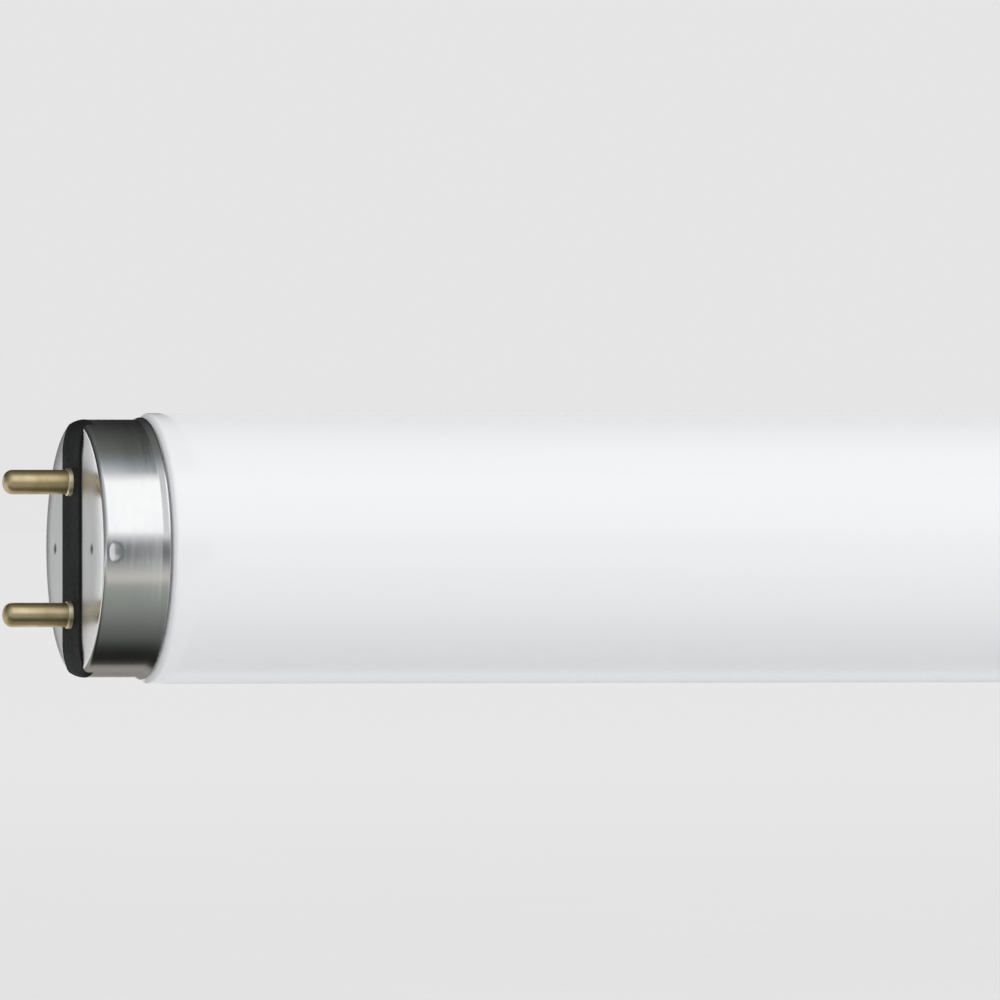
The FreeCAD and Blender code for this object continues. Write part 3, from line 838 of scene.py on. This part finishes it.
soft = bpy.data.lights.new("soft_lamp", "AREA")
soft.shape = "RECTANGLE"
soft.size, soft.size_y = LAMP_WIDTH, LAMP_DEPTH
soft.energy = LAMP_WATTS_PER_AREA * LAMP_WIDTH * LAMP_DEPTH
soft_lamp = bpy.data.objects.new("soft_lamp", soft)
bpy.context.collection.objects.link(soft_lamp)
lamp_rise = math.radians(LAMP_HEIGHT_DEG)
lamp_target = cap_centre + Vector((LAMP_LEFT + LAMP_WIDTH / 2, 0, 0))
lamp_place = lamp_target + Vector((0, -math.cos(lamp_rise), math.sin(lamp_rise))) * LAMP_DISTANCE
soft_lamp.matrix_world = aim(lamp_place, lamp_target)
soft_lamp.visible_camera = False
print("lamp of", round(soft.energy, 2), "W at", [round(c, 2) for c in lamp_place])

# %% [markdown]
# The cards show only in reflections: they cast no shadow and hide nothing. Each is a sheet of rows with a
# tone for every row, which fades from stop to stop as a painted card would, and a slight tint. Three of
# them shape the cap's wall. Where the wall leans up by an angle, it reflects a ray that rises by twice that
# angle, so each row of a card is laid where such a ray meets it: on a curve over the cap, on another low in
# front, and on a level just under the cap. They end close to the lip, so that the glass hardly shows
# them. Two more run along the glass, where they only dim or lift its thin clear gloss: one takes the top
# edge back to the tone of the surround, and one shades the underside but for a light line near its edge.
# The last stands upright round the cap: the end face reflects its dark start, the face's bevel the bright
# part, and the corner the dark rest.

# %% Cards for the reflections
NEUTRAL, GREEN, BLUE, BROWN = (1, 1, 1), (0.95, 1.0, 0.92), (0.94, 0.99, 1.03), (1.05, 1.0, 0.9)
SIDEWAYS = math.tan(math.asin(ELLIPSE_RATIO))
BEFORE_THE_CAP = 0.08
CAP_CARD_FROM = -FACE_X * MM - BEFORE_THE_CAP
LIP_END = (-FACE_X + SHELL_HEIGHT) * MM
TOP_PAST_LIP, FRONT_PAST_LIP, GLASS_PAST_LIP = 0.0014, 0.0004, 0.0015
GLASS_CARD_ENDS = (LIP_END + GLASS_PAST_LIP, -LIP_END)
SHADE_DEPTHS = (1.0, 6.5)
TOP_CARD_SHARES = (1.1, 1.1, 0.5, 0.5)
OVER_RADIUS, FRONT_RADIUS = 45, 70
UNDER_CAP_LEVEL, UNDER_GLASS_LEVEL = 0.08, -15.0
END_CARD_RADIUS, END_CARD_TOP, ABOVE_FLOOR = 0.9, 2.2, 0.0005


def card(name, rows, place_on_stops, stops, shares=(1, 1)):
    """A card of rows (n, columns, 3) in metres, seen only in reflections.

    stops are (place, tone, tint), and the shares darken each column of the rows.
    """
    mesh = bpy.data.meshes.new(name)
    cells = grid_cells(len(rows), len(shares), wrap_columns=False)
    mesh.from_pydata(rows.reshape(-1, 3).tolist(), [], cells.tolist())
    places = [stop[0] for stop in stops]
    colours = np.array([np.multiply(stop[1], stop[2]) for stop in stops])
    shown = np.stack([np.interp(place_on_stops, places, colours[:, c]) for c in range(3)], axis=-1)
    shown = shown[:, None] * np.array(shares)[None, :, None]
    shown = np.concatenate([shown, np.ones(shown.shape[:2] + (1,))], axis=-1)
    tone_layer = mesh.color_attributes.new("card_tone", "FLOAT_COLOR", "POINT")
    tone_layer.data.foreach_set("color", shown.ravel())
    made = bpy.data.objects.new(name, mesh)
    bpy.context.collection.objects.link(made)
    material = bpy.data.materials.new(name)
    material.use_nodes = True
    tree = material.node_tree
    tree.nodes.clear()
    glow = tree.nodes.new("ShaderNodeEmission")
    attribute = tree.nodes.new("ShaderNodeAttribute")
    attribute.attribute_name = "card_tone"
    ending = tree.nodes.new("ShaderNodeOutputMaterial")
    tree.links.new(attribute.outputs["Color"], glow.inputs["Color"])
    tree.links.new(glow.outputs[0], ending.inputs["Surface"])
    mesh.materials.append(material)
    for ray in ("camera", "diffuse", "shadow", "transmission", "volume_scatter"):
        setattr(made, "visible_" + ray, False)
    print(name, "of", len(rows), "rows, tones", round(shown.min(), 3), "to", round(shown[..., :3].max(), 2))


def neutral(*stops):
    """Stops of (place, tone) with the neutral tint added."""
    return [(place, level, NEUTRAL) for place, level in stops]


def traced_rows(rises, run, places, radius=WALL_RADIUS):
    """Rows where the rays of each rise end after their run (mm), with a column for each start place (m).

    A ray starts on the wall of this radius at half its rise round the axis. It goes forwards by the cosine
    of its rise and up by the sine, and sideways by a fixed share of the run.
    """
    rise = np.radians(rises)
    y = -radius * np.cos(rise / 2) - run * np.cos(rise)
    z = AXIS_HEIGHT + radius * np.sin(rise / 2) + run * np.sin(rise)
    along = np.array(places) + SIDEWAYS * run[:, None] * MM
    return np.stack(np.broadcast_arrays(along, y[:, None] * MM, z[:, None] * MM), axis=-1)


def run_to_curve(rises, curve_radius, radius=WALL_RADIUS):
    """Run of each ray from the wall of one radius to the circle of another (mm) round the axis."""
    half = np.radians(rises) / 2
    return np.sqrt(curve_radius ** 2 - (radius * np.sin(half)) ** 2) - radius * np.cos(half)


def run_to_level(rises, level, radius=WALL_RADIUS):
    """Run of each falling ray from the wall of this radius to a level (mm)."""
    rise = np.radians(rises)
    return (level - AXIS_HEIGHT - radius * np.sin(rise / 2)) / np.sin(rise)


def round_the_cap(angles, radius, top):
    """Upright rows at each angle from straight behind the cap round by the left to the front."""
    a = np.radians(angles)[:, None]
    heights = np.array([[FLOOR_LEVEL + ABOVE_FLOOR, top]])
    return np.stack(np.broadcast_arrays(
        -FACE_X * MM - radius * np.sin(a), radius * np.cos(a), heights), axis=-1)


over = np.linspace(70, 172, 61)
over_stops = [(70, 0.62, BLUE), (79, 0.38, BLUE), (87, 0.22, BLUE), (95, 0.15, GREEN), (103, 0.125, GREEN),
              (118, 0.09, GREEN), (130, 0.06, NEUTRAL), (148, 0.032, NEUTRAL), (172, 0.03, NEUTRAL)]
shade_from, shade_full = (np.array(SHADE_DEPTHS) - FACE_X) * MM
over_places = (CAP_CARD_FROM, shade_from, shade_full, LIP_END + TOP_PAST_LIP)
over_rows = traced_rows(over, run_to_curve(over, OVER_RADIUS), over_places)
card("top_card", over_rows, over, over_stops, TOP_CARD_SHARES)

in_front = np.linspace(-10, 14, 25)
front_stops = [(-10, 0.24, BLUE), (-6, 0.18, BLUE), (-2, 0.16, BLUE), (3, 0.21, BLUE), (6, 0.34, BLUE),
               (10, 0.62, NEUTRAL), (14, 0.92, NEUTRAL)]
front_places = (CAP_CARD_FROM, LIP_END + FRONT_PAST_LIP)
front_rows = traced_rows(in_front, run_to_curve(in_front, FRONT_RADIUS), front_places)
card("front_card", front_rows, in_front, front_stops)

under = np.concatenate([np.linspace(-168, -42, 64), np.linspace(-40, -10, 25)])
under_stops = [(-168, 0.27, BROWN), (-150, 0.25, BROWN), (-138, 0.3, BROWN), (-131, 0.24, BROWN),
               (-126, 0.06, GREEN), (-118, 0.02, GREEN), (-108, 0.02, GREEN), (-98, 0.045, GREEN),
               (-88, 0.1, GREEN), (-75, 0.155, GREEN), (-62, 0.22, GREEN), (-52, 0.27, GREEN),
               (-41, 0.32, GREEN), (-33, 0.37, GREEN), (-28, 0.55, BROWN), (-24, 0.57, BROWN),
               (-19, 0.45, NEUTRAL), (-14, 0.33, NEUTRAL), (-10, 0.25, BLUE)]
under_rows = traced_rows(under, run_to_level(under, UNDER_CAP_LEVEL), (CAP_CARD_FROM, LIP_END))
card("under_card", under_rows, under, under_stops)

over_glass = np.linspace(74, 172, 50)
over_glass_run = run_to_curve(over_glass, OVER_RADIUS, GLASS_RADIUS)
over_glass_rows = traced_rows(over_glass, over_glass_run, GLASS_CARD_ENDS, GLASS_RADIUS)
over_glass_stops = neutral((74, 0.78), (92, 0.6), (112, 0.25), (133, 0.3), (150, 0.6), (172, 0.78))
card("over_glass_card", over_glass_rows, over_glass, over_glass_stops)

under_glass = np.linspace(-172, -48, 63)
under_glass_run = run_to_level(under_glass, UNDER_GLASS_LEVEL, GLASS_RADIUS)
under_glass_rows = traced_rows(under_glass, under_glass_run, GLASS_CARD_ENDS, GLASS_RADIUS)
under_glass_stops = neutral(
    (-172, 0.62), (-162, 0.66), (-150, 0.8), (-142, 0.88), (-135, 0.9), (-124, 0.5), (-113, 0.27),
    (-83, 0.27), (-60, 0.5), (-48, 0.72))
card("under_glass_card", under_glass_rows, under_glass, under_glass_stops)

beside = np.linspace(-4, 174, 90)
beside_stops = [
    *neutral((-4, 0.2), (5, 0.17), (10, 0.14)), (13, 0.12, BROWN), (17, 0.13, BROWN),
    *neutral((19, 0.6), (21, 1.3), (25, 1.3), (31, 0.4), (42, 0.19), (95, 0.24), (118, 0.42), (133, 0.57),
             (153, 0.72), (165, 0.92), (174, 0.92))]
card("end_card", round_the_cap(beside, END_CARD_RADIUS, END_CARD_TOP), beside, beside_stops)
